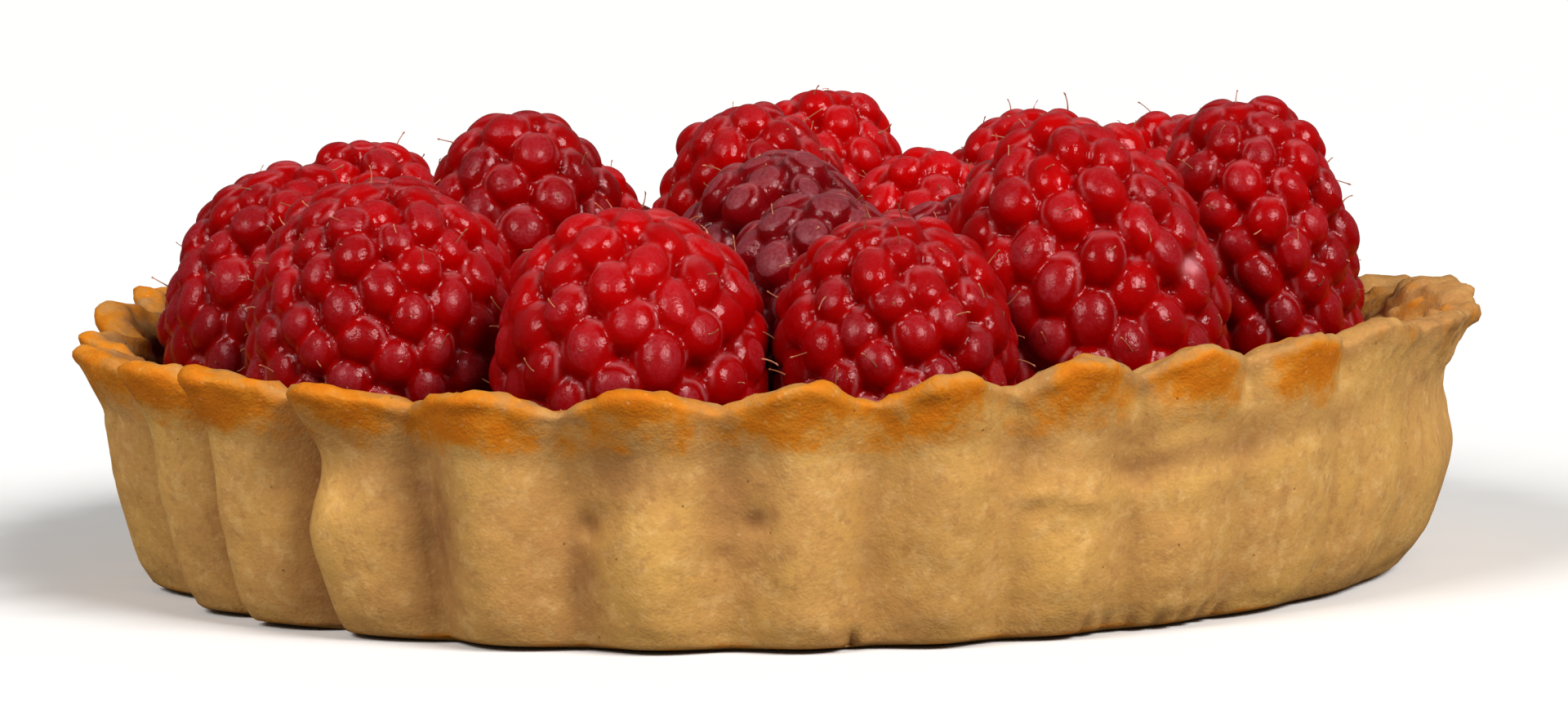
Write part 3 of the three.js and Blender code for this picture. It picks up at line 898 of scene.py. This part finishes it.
def contact_planes(name):
    """The upright planes between a berry and each other one: the way there, and how far."""
    x, y, _, width, *_ = BERRIES[name]
    planes = []
    for other, (other_x, other_y, _, other_width, *_) in BERRIES.items():
        if other != name:
            way = np.array([other_x - x, other_y - y])
            far = np.hypot(*way)
            reach = far * width / (width + other_width) - GAP / 2
            planes.append((np.append(way / far, 0), reach))
    return planes


def is_free(points):
    """Whether points are clear of the case's wall and of the filling."""
    radius = np.hypot(points[:, 0], points[:, 1])
    return (radius < room_radius(points[:, 2]) - GAP) & (points[:, 2] > filling_top(radius) + GAP)


def squeezed(points, middle, planes):
    """Moves points towards the berry's middle until they are clear of what is round them."""
    share = np.ones(len(points))
    for normal, reach in planes:
        along = points @ normal
        share = np.where(along > reach, np.minimum(share, reach / np.maximum(along, 1e-6)), share)
    clear, tight = np.zeros(len(points)), share.copy()
    free = is_free(points * share[:, None] + middle)
    for _ in range(22):  # halvings, to well within a thousandth of a mm
        trial = (clear + tight) / 2
        good = is_free(points * trial[:, None] + middle)
        clear, tight = np.where(good, trial, clear), np.where(good, tight, trial)
    share = np.where(free, share, clear)
    return points * share[:, None] + middle


def drupelet_master():
    """One drupelet: a ball pulled into a plump bead with full shoulders, a blunt crown and a
    narrower root."""
    bead = make(bpy.ops.mesh.primitive_ico_sphere_add, subdivisions=3, radius=1)
    points = corners_of(bead.data) * MM
    across = np.hypot(points[:, 0], points[:, 1])
    points /= ((across ** SHOULDERS + np.abs(points[:, 2]) ** SHOULDERS) ** (1 / SHOULDERS))[:, None]
    out = points[:, 2]
    points[:, :2] *= (1 - 0.12 * ramp(-out, 0, 1))[:, None]
    points[:, 2] = np.where(out > 0, out * (1 - 0.1 * out ** 2), out)
    bead.data.vertices.foreach_set("co", points.astype(np.float32).ravel())
    return bead


def body_normals(directions, tip, width, blunt):
    """The way out of a berry's smooth body in each direction, and the way towards its tip."""
    side = np.cross(directions, [0.0, 0.0, 1.0])
    side[np.linalg.norm(side, axis=1) < 1e-3] = [1.0, 0, 0]
    side = unit(side)
    rise = np.cross(side, directions)

    def surface(way):
        way = unit(way)
        return way * reach_of(way, tip, width, blunt)[:, None]

    step = 1e-3
    one = surface(directions + step * side) - surface(directions - step * side)
    other = surface(directions + step * rise) - surface(directions - step * rise)
    normal = unit(np.cross(one, other))
    normal *= np.sign((normal * directions).sum(1))[:, None]
    upward = unit(other)
    upward *= np.sign((upward * rise).sum(1))[:, None]
    return normal, upward


def owners(points, seats, inward):
    """Which drupelet each point of the skin belongs to, the point's place on that one's unit
    ball (y towards the berry's tip, z outwards) and how near the next drupelet is, from 1."""
    far = ((points[:, None, :] - seats[None, :, :]) ** 2).sum(2)
    near = np.argpartition(far, 5, axis=1)[:, :5]
    local = np.einsum("pnij,pnj->pni", inward[near], points[:, None, :] - seats[near])
    reach = np.linalg.norm(local, axis=2)
    order = np.argsort(reach, axis=1)
    rows = np.arange(len(points))
    first, second = order[:, 0], order[:, 1]
    return near[rows, first], local[rows, first], reach[rows, second]


def place_drupelets(bead, size, seed, directions, body, normal, upward):
    """Copies the bead all round a berry's body, ready to join. Returns each copy's seat, and
    what turns the way from there into a place on the bead."""
    tipward = math.tan(math.radians(TIPWARD)) * ramp(np.degrees(np.arccos(directions[:, 2])), 10, 45)
    near_tip = ramp(directions[:, 2], 0.45, 0.85)
    seats, inward = [], []
    for k in range(len(directions)):
        # Luck decides on its size, its turn, how long it is and how proud it stands.
        luck = draw(seed + 13 * k + np.arange(5))
        half = size * ROUNDNESS * (0.93 + 0.15 * luck[0]) * (1 - SMALLER_AT_TIP * near_tip[k])
        deep = half * DEPTH
        out = Vector(normal[k] + tipward[k] * upward[k]).normalized()
        across = Vector(upward[k]).cross(out).normalized()
        axis = Matrix((across, out.cross(across), out)).transposed().to_4x4()
        spin = Matrix.Rotation(math.radians(60) * (luck[1] - 0.5), 4, "Z")
        long = 1.06 + 0.24 * (luck[2] - 0.4)
        shape = Matrix.Diagonal((half / long ** 0.7 * MM, half * long * MM, deep * MM, 1))
        uneven = mix(0.5, 0.8, near_tip[k]) * (luck[3] - 0.5)
        proud = uneven + 0.5 * (half - size * ROUNDNESS) + 0.3 * near_tip[k]
        seat = body[k] + normal[k] * (proud - deep * SEATED)
        place = Matrix.Translation(Vector(seat) * MM) @ axis @ spin @ shape
        seats.append(seat)
        inward.append(np.array(place.to_3x3().inverted()) * MM)
        copy = bead.data.copy()
        copy.transform(place)
        set_down("drupelet", copy)
    return np.array(seats), np.array(inward)


def ripen(mesh, name, seed, points, facing, level, seats, inward):
    """Keeps with a berry's skin each drupelet's tone with a painted glow on its lower side, the
    painted shade low on the berry, and where it has its bloom and painted highlight, its painted
    sheen line, pale dust and pale spot, and its seams painted bright. Points are the skin's own,
    before it was squeezed."""
    glow = BERRIES[name][-1]
    owner, local, rival = owners(points, seats, inward)
    # No two drupelets are as red or as dusty, or have their bloom quite on the crown.
    luck = draw(seed + 5 * owner + 3)
    off_crown = np.degrees(np.arccos(np.clip(unit(local)[:, 2], -1, 1)))
    off_crown += 4 * mottle(points, 0.9, 21) + 14 * (draw(seed + 3 * owner) - 0.5)
    # Stronger on faces turned up to the lamps: real bloom, and a painted highlight there.
    strength = (0.35 + 0.65 * ramp(facing, -0.5, 0.6)) * (0.3 + 0.9 * draw(seed + 9 * owner + 1))
    if name in DUSKY:
        strength = 0.5 + 0.5 * strength
    cap = (1 - ramp(off_crown, CAP_ANGLE - 7, CAP_ANGLE + 4)) * strength
    # A painted sheen: a pale line round each drupelet's upper side, where its velvet would catch light.
    ring = hump(off_crown, BORDER_ANGLE, BORDER_WIDTH) * ramp(local[:, 1], -0.3, 0.5)
    # Painted light: each drupelet's lower side is drawn brighter, as if lit through.
    glow_below = 0.22 * ramp(-local[:, 1], 0, 0.8)
    # Pale velvet dust on faces turned up, painted brighter there as by the lamps above.
    dusted = ramp(facing, 0.72, 0.95) * ramp(off_crown, 24, 44) * mix(0.2, 0.8, draw(seed + 11 * owner))
    healed = np.exp(-(((corners_of(mesh) - DRY_SPOT[0]) / DRY_SPOT[1]) ** 2).sum(1))
    remember(
        mesh,
        tone=np.clip(glow + 0.4 * (luck - 0.5) + glow_below, 0, 1),
        # painted shade: deeper red low on the berry, brighter towards its top
        ripe=1 - ramp(level, 14, 30),
        bloom=np.clip(cap, 0, 1),
        border=np.clip(np.maximum(ring, dusted) + 4.5 * healed, 0, WHITEST),
        seam=1 - ramp(rival, 1.02, 1.14),
    )


def raspberry(name, bead, seed):
    """A raspberry: drupelets copied round a core, grown together under one skin and squeezed
    by what it touches. Returns its drupelets' crowns and normals, for the threads."""
    x, y, tip, width, lean, blunt, size, _ = BERRIES[name]
    middle = np.array([x, y, WAIST])
    turn = lean_of(lean)
    directions = drupelet_directions(tip, width, blunt, size, seed)
    body = directions * reach_of(directions, tip, width, blunt)[:, None]
    normal, upward = body_normals(directions, tip, width, blunt)

    berry = make(bpy.ops.mesh.primitive_ico_sphere_add, subdivisions=4, radius=MM)
    core = unit(corners_of(berry.data))
    set_corners(berry.data, core * (reach_of(core, tip, width, blunt) - RELIEF)[:, None])
    seats, inward = place_drupelets(bead, size, seed, directions, body, normal, upward)
    bpy.context.view_layer.objects.active = berry
    bpy.ops.object.join()
    pick(berry)
    modify(berry, "REMESH", mode="VOXEL", voxel_size=SKIN_GRID * MM, adaptivity=0)
    modify(berry, "SMOOTH", factor=0.25, iterations=1)

    points = corners_of(berry.data)
    outward = normals_of(berry.data)
    points += outward * lumps(points, [(*SKIN_LUMPS, seed % 17)])[:, None]
    facing = (outward @ turn.T)[:, 2]
    level = (points @ turn.T + middle)[:, 2]
    planes = contact_planes(name)
    set_corners(berry.data, squeezed(points @ turn.T, middle, planes))
    ripen(berry.data, name, seed, points, facing, level, seats, inward)
    skin, slot = (OVERRIPE, "dusky_raspberry") if name in DUSKY else (RIPE, "ripe_raspberry")
    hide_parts(name)
    finish_piece(berry, name.replace("raspberry", "berry"), skin, 60)
    return squeezed(body @ turn.T, middle, planes), normal @ turn.T


STYLE_CEILING = 35.4  # mm, above which no thread may stand
STYLE_SHARE = 0.72  # of the drupelets keep a thread
STYLE_LENGTHS = (0.15, 1.9)  # mm, and most are short
STYLE_BEND = 0.45  # mm that the thread's end is bent aside
STYLE_RINGS = [  # how far along a thread, and how thick it is there in mm
    (0, 0.075), (0.2, 0.055), (0.42, 0.045), (0.65, 0.04), (0.86, 0.04), (0.93, 0.075), (1, 0.05),
]


def threads(crowns, normals):
    """The withered styles: one thread drawn out of a ring with a knob at its end, bent, and
    copied onto a share of the drupelets' crowns."""
    thread = make(bpy.ops.mesh.primitive_circle_add, vertices=5, radius=MM, fill_type="NGON")

    def draw_out():
        for (start, _), (end, _) in zip(STYLE_RINGS, STYLE_RINGS[1:]):
            bpy.ops.mesh.extrude_region_move(TRANSFORM_OT_translate={"value": (0, 0, (end - start) * MM)})
        bpy.ops.mesh.select_all(action="SELECT")
        bpy.ops.mesh.normals_make_consistent(inside=False)

    edit(thread, draw_out)
    points = corners_of(thread.data)
    along = points[:, 2].copy()
    points[:, :2] *= np.interp(along, *zip(*STYLE_RINGS))[:, None]
    points[:, 0] += STYLE_BEND * along ** 2
    put_down_all()
    for k in np.flatnonzero(draw(np.arange(len(crowns)) * 3 + 1) < STYLE_SHARE):
        luck = draw(17 * k + np.arange(6))
        long = mix(*STYLE_LENGTHS, luck[0] ** 1.9)
        way = Vector(normals[k]) + Vector(luck[1:4] * 2 - 1) * 1.1 + Vector((0, 0, 0.2))
        aim = way.to_track_quat("Z", "Y").to_matrix()
        spin = Matrix.Rotation(2 * math.pi * luck[4], 3, "Z")
        shape = points * np.array([1, 1, long])
        shape[:, 0] *= mix(0.8, 1.6, luck[5])
        placed = shape @ np.array(aim @ spin).T + crowns[k] - 0.2 * normals[k]
        if placed[:, 2].max() > STYLE_CEILING:
            continue
        copy = thread.data.copy()
        set_corners(copy, placed)
        set_down("strand", copy)
    bpy.ops.object.join()
    joined = bpy.context.object
    bpy.data.objects.remove(thread)
    finish_piece(joined, "raspberry_styles", STYLE, 80)


# ---- Camera, light and floor ----

VIEW_DISTANCE = 400  # mm from the camera to the point aimed at
VIEW_RISE = 6.5  # degrees above the horizon
AIM_HEIGHT = 10  # mm above the floor
TILT = (0.72, 1.1, -0.166)  # degrees that the camera looks above the aim, rolls and turns
LENS = 120.6  # mm, for a frame that is
FRAME_WIDTH = 36  # mm wide
ROOM_LIGHT = 0.13  # how strongly the room's white walls shine
CARD_WIDTH = 12  # metres, so that no edge of the card shows
# Two soft boxes, far off to the upper left and right: how far round from the front, how high
# and how wide they look, in degrees, and their strength.
SOFTBOXES = {
    "softbox_left": (-44, 38, 25, 1.9),
    "softbox_right": (42, 37, 25, 3.3),
}


def studio():
    """The camera, two soft boxes, a dim white room and the card under the tart."""
    scene = bpy.context.scene
    rise = math.radians(VIEW_RISE)
    back = VIEW_DISTANCE * math.cos(rise)
    up = AIM_HEIGHT + VIEW_DISTANCE * math.sin(rise)
    looks = (90 - VIEW_RISE + TILT[0], TILT[1], TILT[2])
    camera = make(
        bpy.ops.object.camera_add,
        location=(0, -back * MM, up * MM), rotation=[math.radians(angle) for angle in looks],
    )
    camera.name = "view_camera"
    camera.data.lens = LENS
    camera.data.sensor_width = FRAME_WIDTH
    camera.data.clip_start, camera.data.clip_end = 0.01, 20
    scene.camera = camera

    for name, (turn, height, wide, strength) in SOFTBOXES.items():
        aim = (math.radians(90 - height), 0, math.radians(turn))
        lamp = make(bpy.ops.object.light_add, type="SUN", rotation=aim)
        lamp.name = name
        lamp.data.energy = strength
        lamp.data.angle = math.radians(wide)

    world = bpy.data.worlds.new("white_room")
    world.use_nodes = True
    backdrop = world.node_tree.nodes["Background"]
    backdrop.inputs["Color"].default_value = colour("#fbfaf8")
    backdrop.inputs["Strength"].default_value = ROOM_LIGHT
    scene.world = world
    scene.view_settings.view_transform = "Standard"

    floor = make(bpy.ops.mesh.primitive_plane_add, size=CARD_WIDTH)
    floor.name = "card_floor"
    floor.data.materials.append(pale_floor())


# ---- Building ----

studio()
pastry_case()
poured_filling()
bead = drupelet_master()
grown = [raspberry(name, bead, SEED_STEP * number) for number, name in enumerate(BERRIES, 1)]
bpy.data.objects.remove(bead)
threads(*[np.concatenate(parts) for parts in zip(*grown)])
